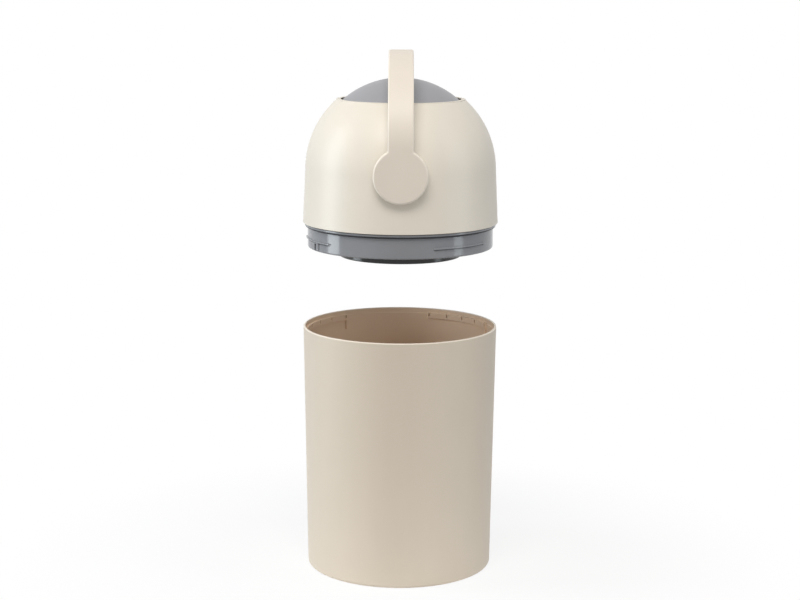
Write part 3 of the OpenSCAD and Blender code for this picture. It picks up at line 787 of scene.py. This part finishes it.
# The head shell: a cream satin dome, straight-walled at its foot and cut flat across
# its crown. Inside are a bushed boss for each axle and the six posts for the screws.
cut_rise = 78.5 * mm
cut_gap = 7.8 * mm
crown_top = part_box("dome_shell")[1].z
cut_z = crown_top - head_z
cut_r = sqrt(ball_r ** 2 - cut_rise ** 2) + cut_gap
crown_h = (cut_z - belt_z) / sqrt(1 - (cut_r / belt_r) ** 2)
bush_r = 11.55 * mm
boss_r = bush_r + 3.5 * mm
boss_y = pole_y + 2.5 * mm + run_gap + 1.5 * mm
post_h = 24 * mm
web_half = 1.2 * mm
stop_r = 19 * mm
across_all = 0.2  # farther from the middle than any part of the head


def shell_out(z):
    """Outer radius of the shell at a height above its lower edge."""
    if z <= belt_z:
        return rim_r - shell_draft * z / belt_z
    return belt_r * sqrt(1 - ((z - belt_z) / crown_h) ** 2)


def shell_in(z):
    """Inner radius of the shell at that height."""
    if z <= belt_z:
        return shell_out(z) - shell_wall
    return (belt_r - shell_wall) * sqrt(1 - ((z - belt_z) / (crown_h - shell_wall)) ** 2)


def shell_outline():
    """Half section of the dome's wall, from its lower edge up outside and down inside."""
    lip = 1.0 * mm
    steps = 56
    top_out = cut_z - lip
    shell = [(shell_out(z), z) for z in [belt_z * k / 4 for k in (1, 2, 3)]]
    shell += [(shell_out(z), z) for z in
              [belt_z + (top_out - belt_z) * sin(radians(90 * k / steps)) for k in range(steps + 1)]]
    lip_points = arc(shell_out(top_out) - lip * 0.62, top_out, lip, 40, 90, 5)[1:]
    inside = [(shell_in(z), z) for z in
              [belt_z + (cut_z - 0.5 * mm - belt_z) * cos(radians(90 * k / 32)) for k in range(33)]]
    foot = rounded([(shell_in(0), 0, 0.4 * mm), (rim_r, 0, 0.6 * mm), (shell_out(6 * mm), 6 * mm, 0)])
    outline = foot + shell + lip_points + [(shell_in(cut_z) + 0.5 * mm, cut_z)] + inside
    return [(r, z + head_z) for r, z in outline]


def boss(axis):
    """The boss that carries a bush, with the step round its upper half that stops the
    axle's pin."""
    sunk = 0.6 * mm
    body = tube("boss", 0, boss_r, boss_y, belt_r - shell_wall + sunk, axis=axis)
    step_far = shell_in(pivot_z - head_z + stop_r) + sunk
    step = tube("step", boss_r - 1 * mm, stop_r, boss_y, step_far, axis=axis)
    shaped(step, "INTERSECT", block("upper", (-across_all, -across_all, 2 * mm), (across_all,) * 3))
    return moved(shaped(body, "UNION", step), z=pivot_z)


shell_body = revolved("shell_body", shell_outline())
shaped(shell_body, "UNION", boss("-Y"), boss("Y"),
       *around(lambda: pin("post", post_r, head_z, head_z + post_h), post_n, post_ring_r),
       *around(lambda: block("web", (0, -web_half, head_z + spigot_h + run_gap),
                             (shell_in(post_h) + 2 * mm - post_ring_r, web_half, head_z + post_h)),
               post_n, post_ring_r))
shaped(shell_body, "DIFFERENCE",
       moved(tube("bore", 0, bush_r, -across_all, across_all, axis="Y"), z=pivot_z),
       *around(lambda: pin("pilot", screw_d / 2 + 0.05 * mm, head_z - past, head_z + post_h - 2 * mm),
               post_n, post_ring_r))


def shell_edges(finish):
    """The shell's lower edge and the edge of its crown, scuffed by use and cleaning."""
    z = finish.axis("Z")
    low = 1 - z.rise(head_z, head_z + 0.9 * mm)
    return low.most(z.rise(crown_top - 1.4 * mm, crown_top - 0.3 * mm)) * 0.7


shell_body.data.materials.append(moulded(
    "shell_satin_cream", paint(232, 223, 209), paint(230, 221, 207), gloss=0.43, grain=0.45 * mm,
    worn=shell_edges, wear_and_highlight_colour=paint(240, 232, 219), specular=0.7))
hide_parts("dome_shell")
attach(shell_body, "head")

# The handle: strap and two pivot discs in one pale sand moulding. The strap is planar
# beside the shell, then arches over the ball as half an ellipse. Its outline runs once
# round both discs, and small fillets join strap and disc.
handle_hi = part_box("handle")[1]
face_y = handle_hi.y
disc_t = 8 * mm
disc_y = face_y - disc_t
disc_r = handle_hi.x
strap_w = 29 * mm
strap_t = 6 * mm
liner_t = 2 * mm
skin_t = strap_t - liner_t
leg_h = 30 * mm
shoulder_h = 31.6 * mm
arch_rise = handle_hi.z - pivot_z - leg_h
strap_round = 1.7 * mm
disc_round = 2.4 * mm
back_round = 0.5 * mm
fillet_r = 2.6 * mm
arch_steps = 150
edge_steps = 6
fillet_steps = 8
disc_steps = 96


def disc_stations():
    """The outline of one disc and the strap's root, from the strap's right edge down and
    round to its left edge: place, inward direction, edge rounding."""
    half = strap_w / 2
    centre = Vector((half + fillet_r, sqrt((disc_r + fillet_r) ** 2 - (half + fillet_r) ** 2)))
    turn = degrees(atan2(centre.y, centre.x))
    stations = [(Vector((half, shoulder_h)), Vector((-1, 0)), strap_round),
                (Vector((half, shoulder_h - 0.8 * mm)), Vector((-1, 0)), strap_round)]
    for k in range(fillet_steps + 1):
        a = radians(180 + turn * k / fillet_steps)
        inward = Vector((cos(a), sin(a)))
        rounding = strap_round + (disc_round - strap_round) * k / fillet_steps
        stations.append((centre + inward * fillet_r, inward, rounding))
    for k in range(1, disc_steps + 1):
        a = radians(turn - (turn + 90) * k / disc_steps)
        outward = Vector((cos(a), sin(a)))
        stations.append((outward * disc_r, -outward, disc_round))
    flip = Matrix(((-1, 0), (0, 1)))
    return stations + [(flip @ p, flip @ d, r) for p, d, r in reversed(stations[:-1])]


def edge_ring(rounding, thickness):
    """How far in and how deep the moulding's edge runs, from its face round to its back."""
    ring = [(rounding + 0.5 * mm, 0)]
    for k in range(edge_steps + 1):
        a = radians(90 - 90 * k / edge_steps)
        ring.append((rounding - rounding * cos(a), rounding - rounding * sin(a)))
    ring.append((0, rounding + 0.3 * mm))
    ring.append((0, thickness - back_round - 0.2 * mm))
    for k in range(4):
        a = radians(90 * k / 3)
        ring.append((back_round - back_round * cos(a), thickness - back_round + back_round * sin(a)))
    ring.append((back_round + 0.4 * mm, thickness))
    return ring


def arch_point(turn, depth, across):
    """A point of the strap's arch: turn 0 at the front leg's top, 180 at the rear's."""
    a = radians(180 - turn)
    out = Vector((arch_rise * cos(a), face_y * sin(a))).normalized()
    return Vector((across, face_y * cos(a) - out.x * depth,
                   pivot_z + leg_h + arch_rise * sin(a) - out.y * depth))


def handle_mesh():
    """The whole moulding as one skin: an edge strip that closes on itself, the outer face
    and the back."""
    front = disc_stations()
    verts, rings = [], []

    def add(points):
        rings.append(list(range(len(verts), len(verts) + len(points))))
        verts.extend(points)

    def disc_ring(station, y_side, thickness):
        place, inward, rounding = station
        return [Vector((place.x + inward.x * d, y_side * (face_y - depth),
                        pivot_z + place.y + inward.y * d)) for d, depth in edge_ring(rounding, thickness)]

    def strap_ring(side, turn):
        return [arch_point(turn, depth, side * (strap_w / 2 - d))
                for d, depth in edge_ring(strap_round, skin_t)]

    first = 1.2
    arch_turns = [first + (180 - 2 * first) * k / arch_steps for k in range(arch_steps + 1)]
    for station in front:
        add(disc_ring(station, -1, disc_t))
    for turn in arch_turns:
        add(strap_ring(-1, turn))
    for station in reversed(front):
        add(disc_ring(station, 1, disc_t))
    for turn in reversed(arch_turns):
        add(strap_ring(1, turn))
    faces = []
    count = len(rings)
    for i in range(count):
        a, b = rings[i], rings[(i + 1) % count]
        for j in range(len(a) - 1):
            faces.append((a[j], a[j + 1], b[j + 1], b[j]))
    n_disc, n_arch = len(front), len(arch_turns)
    left = list(range(n_disc, n_disc + n_arch))
    right = list(range(count - 1, count - 1 - n_arch, -1))
    for level in (0, -1):
        faces.append(tuple(rings[i][level] for i in range(n_disc)))
        faces.append(tuple(rings[i][level] for i in range(n_disc + n_arch, 2 * n_disc + n_arch)))
        for k in range(n_arch - 1):
            faces.append((rings[left[k]][level], rings[left[k + 1]][level],
                          rings[right[k + 1]][level], rings[right[k]][level]))
        faces.append((rings[n_disc - 1][level], rings[left[0]][level],
                      rings[right[0]][level], rings[0][level]))
        faces.append((rings[left[-1]][level], rings[n_disc + n_arch][level],
                      rings[2 * n_disc + n_arch - 1][level], rings[right[-1]][level]))
    return verts, faces


def disc_hollow(axis):
    """The hollow of a disc from behind, which leaves its skin, its hub and four ribs."""
    skin = 2.6 * mm
    hub_r = 11.35 * mm
    rib_back = disc_y + 2.2 * mm
    rib_half = 0.9 * mm
    hollow = tube("hollow", hub_r, disc_r - skin, disc_y - past, face_y - skin, 160, axis)
    low_y, high_y = (rib_back, face_y) if axis == "Y" else (-face_y, -rib_back)
    for turn in (45, 135):
        stay = block("stay", (-rib_half, low_y, -2 * disc_r), (rib_half, high_y, 2 * disc_r))
        stay.data.transform(Matrix.Rotation(radians(turn), 4, "Y"))
        shaped(hollow, "DIFFERENCE", stay)
    return moved(hollow, z=pivot_z)


def drive_hole(low_y, high_y):
    """The square hole in a disc's hub that an axle drives."""
    half = 6 * mm
    return moved(block("drive", (-half, low_y, -half), (half, high_y, half)), z=pivot_z)


handle_body = solid("handle_body", *handle_mesh())
drive_depth = 5.2 * mm
shaped(handle_body, "DIFFERENCE", disc_hollow("Y"), disc_hollow("-Y"),
       drive_hole(disc_y - past, disc_y + drive_depth),
       drive_hole(-disc_y - drive_depth, -disc_y + past))


def gripped(finish):
    """The top of the strap, dulled by use."""
    return finish.axis("Z").rise(handle_hi.z - 22 * mm, handle_hi.z - 2 * mm) * 0.4


def handle_edges(finish):
    """The rounded edges of the strap and of its two discs, polished by use and painted lighter as a
    highlight.
    """
    across = abs(finish.axis("X"))
    above = finish.axis("Z") - pivot_z
    strap = across.rise(strap_w / 2 - 1.6 * mm, strap_w / 2 - 0.6 * mm)
    disc = (across * across + above * above) ** 0.5
    root = (1 - strap) * above.rise(0, 2 * mm)
    rim = disc.rise(disc_r - 2.0 * mm, disc_r - 0.8 * mm) * (1 - root)
    return rim.most(strap * above.rise(shoulder_h - 6 * mm, shoulder_h - 3 * mm))


# The strap's and discs' edges are painted lighter as a highlight through the lip mask.
handle_sand = moulded("handle_pale_sand", paint(234, 223, 209), paint(232, 221, 207), gloss=0.46,
                      grain=0.4 * mm, worn=gripped, wear_and_highlight_colour=paint(246, 236, 222),
                      lip=handle_edges)
handle_body.data.materials.append(handle_sand)
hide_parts("handle")
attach(handle_body, "ball")

# The strap's liner: a matt, soft-edged strip snapped into the inside of the arch. It
# follows the same ellipse as the strap, so its section is swept along that path. The
# plates that close the backs of the discs are cut from the handle's plastic.


class Tree:
    """A Geometry Nodes tree with named inputs."""

    def __init__(self, name, **inputs):
        self.tree = bpy.data.node_groups.new(name, "GeometryNodeTree")
        self.tree.interface.new_socket("Geometry", in_out="INPUT", socket_type="NodeSocketGeometry")
        self.tree.interface.new_socket("Geometry", in_out="OUTPUT", socket_type="NodeSocketGeometry")
        self.settings = {}
        for label, value in inputs.items():
            kind = {int: "NodeSocketInt", float: "NodeSocketFloat"}.get(type(value), "NodeSocketMaterial")
            item = self.tree.interface.new_socket(label.replace("_", " "), in_out="INPUT", socket_type=kind)
            self.settings[item.identifier] = value
        self.start = self.tree.nodes.new("NodeGroupInput")

    def given(self, label):
        """The socket of a named input."""
        return self.start.outputs[label]

    def node(self, kind, settings=None, values=None, output=0):
        """Adds a node and gives one of its outputs."""
        return wired(self.tree, kind, settings, values).outputs[output]

    def made(self, piece):
        """Runs the tree on a piece and leaves the result as the piece's plain mesh."""
        modifier = piece.modifiers.new(self.tree.name, "NODES")
        modifier.node_group = self.tree
        for identifier, value in self.settings.items():
            modifier[identifier] = value
        mesh = baked(piece)
        if mesh.materials[0] is None:
            mesh.materials.pop(index=0)
        work = bmesh.new()
        work.from_mesh(mesh)
        bmesh.ops.remove_doubles(work, verts=work.verts, dist=weld)
        bmesh.ops.recalc_face_normals(work, faces=work.faces)
        work.to_mesh(mesh)
        work.free()
        return smooth(piece)

    def finish(self, geometry):
        """Ends the tree in Realize Instances and Set Material."""
        whole = self.node("GeometryNodeRealizeInstances", {}, {0: geometry})
        coated = self.node("GeometryNodeSetMaterial", {}, {0: whole, "Material": self.given("Finish")})
        wired(self.tree, "NodeGroupOutput", {}, {0: coated})
        return self


def liner_path():
    """The middle line of the liner, as a chain of edges along the arch."""
    first = 1.6
    steps = 120
    turns = [first + (180 - 2 * first) * k / steps for k in range(steps + 1)]
    points = [arch_point(turn, strap_t - liner_t / 2, 0) for turn in turns]
    mesh = bpy.data.meshes.new("liner_path")
    mesh.from_pydata(points, [(k, k + 1) for k in range(steps)], [])
    return placed("handle_liner_body", mesh)


liner_soft = moulded("liner_soft_sand", paint(222, 211, 197), paint(219, 208, 194), gloss=0.8,
                     grain=0.6 * mm, specular=0.1)
liner_w = 25 * mm
swept = Tree("swept_liner", Width=liner_w, Thickness=liner_t, Edge=0.5 * mm, Finish=liner_soft)
path = swept.node("GeometryNodeMeshToCurve", {}, {0: swept.given("Geometry")})
section = swept.node("GeometryNodeCurvePrimitiveQuadrilateral", {},
                     {"Width": swept.given("Width"), "Height": swept.given("Thickness")})
section = swept.node("GeometryNodeFilletCurve", {"mode": "POLY"},
                     {"Curve": section, "Radius": swept.given("Edge"), "Count": 3})
strip = swept.node("GeometryNodeCurveToMesh", {},
                   {"Curve": path, "Profile Curve": section, "Fill Caps": True})
handle_liner = swept.finish(strip).made(liner_path())
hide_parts("handle_liner")
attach(handle_liner, "ball")
dressed("disc_plates", handle_sand)

# The screws: zinc-plated pan heads with a cross recess. Six hold the collar to the
# shell from below, four hold the chute's ears, and one runs from inside the ball
# through each axle into its disc.


def plated(name):
    """Bright zinc plate, slightly mottled, with faint rings from the rolling die."""
    finish = Finish(name)
    mottle = finish.noise(1.6 * mm, 4)
    rings = finish.noise(0.35 * mm, 2, finish.stretched(0.2, 0.2, 1))
    base = finish.mixed(mottle.rise(0.3, 0.7), paint(170, 173, 178), paint(196, 198, 202))
    rough = 0.26 + (mottle - 0.5) * 0.2
    normal = finish.bump(rings * 0.5 + mottle * 0.5, 0.02 * mm)
    return finish.surface(Base_Color=base, Roughness=rough, Normal=normal, Metallic=1.0)


def screw_mesh(name, diameter, head_h, length, down):
    """One screw at the axis: a domed head, a cross recess, and a threaded shank with a
    taper point. down is 1 if its head hangs below its seat, and -1 if it sits above."""
    r = diameter / 2
    crest, root = r, 0.8 * r
    pitch = 0.36 * diameter
    outline = [(0, -head_h), (0.45 * diameter, -head_h), (0.8 * diameter, -0.86 * head_h),
               (0.96 * diameter, -0.55 * head_h), (diameter, -0.2 * head_h), (diameter, 0),
               (root, 0), (root, 0.4 * pitch)]
    turns = int((length - 1.6 * diameter) / pitch)
    for k in range(turns):
        z = 0.5 * pitch + k * pitch
        outline += [(root, z), (crest, z + 0.4 * pitch), (crest, z + 0.5 * pitch), (root, z + 0.9 * pitch)]
    outline += [(root, length - diameter), (0.3 * r, length), (0, length)]
    screw = revolved(name, outline, 32)
    half_w, half_l, depth = 0.14 * diameter, 0.55 * diameter, 0.6 * head_h
    for x, y in ((half_w, half_l), (half_l, half_w)):
        shaped(screw, "DIFFERENCE", block("recess", (-x, -y, -head_h - past), (x, y, depth - head_h)))
    if down < 0:
        screw.data.transform(Matrix.Scale(-1, 4, (0, 0, 1)))
        screw.data.flip_normals()
    return screw


def chance_turn(tree):
    """A rotation by chance about each screw's own axis, as it happened to be driven."""
    driven = tree.node("FunctionNodeRandomValue", {"data_type": "FLOAT"},
                       {2: 0.0, 3: radians(90), "Seed": tree.given("Seed")}, output=1)
    return tree.node("ShaderNodeCombineXYZ", {}, {"Z": driven})


def screw_ring(name, screw, count, radius, first, height, seed, finish):
    """Geometry Nodes: a screw repeated on a circle."""
    ring = Tree(name + "_ring", Count=count, Ring_Radius=radius, First_Angle=radians(first),
                Seat_Height=height, Seed=seed, Finish=finish)
    points = ring.node("GeometryNodeMeshCircle", {},
                       {"Vertices": ring.given("Count"), "Radius": ring.given("Ring Radius")})
    place = ring.node("ShaderNodeCombineXYZ", {}, {"Z": ring.given("Seat Height")})
    turn = ring.node("ShaderNodeCombineXYZ", {}, {"Z": ring.given("First Angle")})
    points = ring.node("GeometryNodeTransform", {},
                       {"Geometry": points, "Translation": place, "Rotation": turn})
    screws = ring.node("GeometryNodeInstanceOnPoints", {},
                       {"Points": points, "Instance": ring.given("Geometry"),
                        "Rotation": chance_turn(ring)})
    return ring.finish(screws).made(screw)


def screw_pair(name, screw, seat, height, seed, finish):
    """Geometry Nodes: one screw and its twin, which point away from each other along Y."""
    pair = Tree(name + "_pair", Seat=seat, Height=height, Seed=seed, Finish=finish)
    near = pair.node("ShaderNodeMath", {"operation": "MULTIPLY"}, {0: pair.given("Seat"), 1: -1.0})
    apart = pair.node("ShaderNodeMath", {"operation": "MULTIPLY"}, {0: pair.given("Seat"), 1: 2.0})
    first = pair.node("ShaderNodeCombineXYZ", {}, {"Y": near})
    step = pair.node("ShaderNodeCombineXYZ", {}, {"Y": apart})
    points = pair.node("GeometryNodeMeshLine", {"mode": "OFFSET"},
                       {"Count": 2, "Start Location": first, "Offset": step})
    outward = pair.node("GeometryNodeInputPosition")
    aimed = pair.node("FunctionNodeAlignEulerToVector", {"axis": "Z"}, {"Vector": outward})
    both = pair.node("FunctionNodeRotateEuler", {"space": "LOCAL"},
                     {"Rotation": aimed, "Rotate By": chance_turn(pair)})
    screws = pair.node("GeometryNodeInstanceOnPoints", {},
                       {"Points": points, "Instance": pair.given("Geometry"), "Rotation": both})
    lift = pair.node("ShaderNodeCombineXYZ", {}, {"Z": pair.given("Height")})
    raised = pair.node("GeometryNodeTransform", {}, {"Geometry": screws, "Translation": lift})
    return pair.finish(raised).made(screw)


zinc = plated("screw_zinc_plate")
collar_screw = screw_mesh("collar_screws_body", screw_d, head_h=2.6 * mm, length=24 * mm, down=1)
collar_screws = screw_ring("collar_screws", collar_screw, post_n, post_ring_r, first=0,
                           height=collar_seat, seed=3, finish=zinc)
chute_screw = screw_mesh("chute_screws_body", chute_screw_d, head_h=2 * mm, length=7 * mm, down=-1)
chute_screws = screw_ring("chute_screws", chute_screw, chute_screw_n, chute_screw_r,
                          first=chute_screw_first, height=deck_top + chute_pillar_h + ear_t,
                          seed=5, finish=zinc)
screw_seat = pole_y + 1 * mm
skin_left = 1.4 * mm
handle_screw = screw_mesh("handle_screws_body", 4 * mm, head_h=3.2 * mm,
                          length=face_y - skin_left - screw_seat, down=1)
handle_screws = screw_pair("handle_screws", handle_screw, screw_seat, pivot_z, seed=7, finish=zinc)
for piece, node, body in ((collar_screws, "collar_screws", "head"), (chute_screws, "chute_screws", "head"),
                          (handle_screws, "handle_screws", "ball")):
    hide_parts(node)
    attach(piece, body)

# The studio: a pale floor that keeps a light shadow and shows white to the camera, two
# tall soft boxes at the sides, one above the camera, and a plain pale surround.
floor_r = 30.0
floor_sides = 96
floor_turns = [2 * pi * k / floor_sides for k in range(floor_sides)]
floor_mesh = bpy.data.meshes.new("floor")
floor_mesh.from_pydata([(floor_r * cos(turn), floor_r * sin(turn), 0) for turn in floor_turns],
                       [], [tuple(range(floor_sides))])
floor = placed("floor", floor_mesh)
white = (1.0, 1.0, 1.0, 1.0)
sheet_in, sheet_out = 0.32, 0.65
glow_in, glow_out = 0.2, 0.5
near_glow = 0.84
pale = Finish("floor_pale")
seen = pale.node("ShaderNodeLightPath", output="Is Camera Ray")
shiny = pale.node("ShaderNodeLightPath", output="Is Glossy Ray")
sheet = 1 - pale.radius().rise(sheet_in, sheet_out)
tone = pale.mixed(sheet, (0.3, 0.3, 0.3, 1.0), (0.96, 0.96, 0.96, 1.0))
paper = pale.node("ShaderNodeBsdfDiffuse", {}, {"Color": tone})
glow = pale.node("ShaderNodeEmission", {}, {"Color": white, "Strength": 1.0})
floor_glow = near_glow + (1 - near_glow) * pale.radius().rise(glow_in, glow_out)
both = pale.node("ShaderNodeMixShader", {}, {0: seen.most(shiny) * floor_glow, 1: paper, 2: glow})
pale.node("ShaderNodeOutputMaterial", {}, {"Surface": both})
floor.data.materials.append(pale.material)


def soft_box(name, azimuth, elevation, distance, width, height, power, colour, aim):
    """A soft box: azimuth 0 is where the camera stands, 90 is to the object's right."""
    lamp = bpy.data.lights.new(name, "AREA")
    lamp.shape = "RECTANGLE"
    lamp.size = width
    lamp.size_y = height
    lamp.energy = power
    lamp.color = colour
    box = placed(name, lamp)
    a, e = radians(azimuth), radians(elevation)
    box.location = aim + distance * Vector((sin(a) * cos(e), -cos(a) * cos(e), sin(e)))
    box.rotation_euler = (box.location - aim).to_track_quat("Z", "Y").to_euler()


middle = Vector((0, 0, 0.4))
cool, warm = (0.87, 0.95, 1.0), (1.0, 0.985, 0.955)
soft_box("left_box", -88, 12, 1.6, 0.56, 1.7, 16.4, cool, middle)
soft_box("right_box", 74, 12, 1.6, 0.36, 1.7, 5.6, cool, middle)
soft_box("top_box", -9, 52, 2.0, 1.2, 0.9, 23.6, warm, middle)
soft_box("front_box", 12, 16, 2.6, 2.2, 1.2, 6, warm, middle)

world = bpy.data.worlds.new("studio")
bpy.context.scene.world = world
world.use_nodes = True
sky = world.node_tree
sky.nodes.clear()
fill_strength = 0.22
rays = wired(sky, "ShaderNodeLightPath").outputs
fill = wired(sky, "ShaderNodeBackground", {}, {"Color": white, "Strength": fill_strength})
bright = wired(sky, "ShaderNodeBackground", {}, {"Color": white, "Strength": 1.0})
seen_by = rays["Is Camera Ray"]
for kind in ("Is Glossy Ray", "Is Transmission Ray"):
    either = wired(sky, "ShaderNodeMath", {"operation": "MAXIMUM"}, {0: seen_by, 1: rays[kind]})
    seen_by = either.outputs[0]
chosen = wired(sky, "ShaderNodeMixShader", {}, {0: seen_by, 1: fill.outputs[0], 2: bright.outputs[0]})
wired(sky, "ShaderNodeOutputWorld", {}, {0: chosen.outputs[0]})

view = bpy.data.cameras.new("view")
view.sensor_width = 36
view.lens = 81.94
view.clip_end = 200
camera = placed("view", view)
camera.location = (0, -2.136, 0.711)
pitch, roll = radians(90 - 10.33), radians(0.27)
camera.matrix_world = (Matrix.Translation(camera.location) @ Euler((pitch, 0, 0)).to_matrix().to_4x4()
                       @ Matrix.Rotation(roll, 4, "Z"))
bpy.context.scene.camera = camera
bpy.context.scene.view_settings.view_transform = "Standard"
